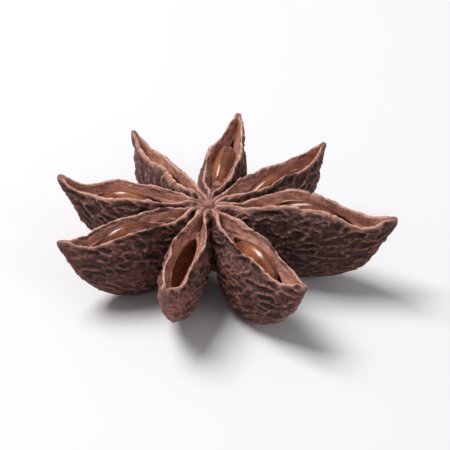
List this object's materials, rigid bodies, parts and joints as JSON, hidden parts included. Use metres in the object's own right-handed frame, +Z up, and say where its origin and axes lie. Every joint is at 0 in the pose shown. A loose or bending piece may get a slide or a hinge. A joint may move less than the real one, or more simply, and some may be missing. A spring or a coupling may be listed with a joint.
{
  "type": "star anise pod",
  "caption": "Dried star anise pod: a woody star of boat-shaped follicles around a short hub, split along their upper edges, with glossy seeds in the hollows and a stub of stalk below.",
  "frame": {"origin": "on the surface the pod rests on, below the middle of its outline", "axes": "+Z up, the split faces of the follicles look up; +X along the longest follicle's side of the pod, its longest extent; +Y to the left of it seen from above"},
  "size_m": [0.0276, 0.024, 0.0086],
  "materials": {
    "husk": "dry, wrinkled and matt, with smoother linings and paler split edges",
    "seed": "hard, smooth and glossy"
  },
  "bodies": {
    "root": {"husk": "husk", "seed_1": "seed", "seed_2": "seed", "seed_3": "seed", "seed_5": "seed", "seed_6": "seed", "seed_8": "seed"}
  },
  "joints": []
}
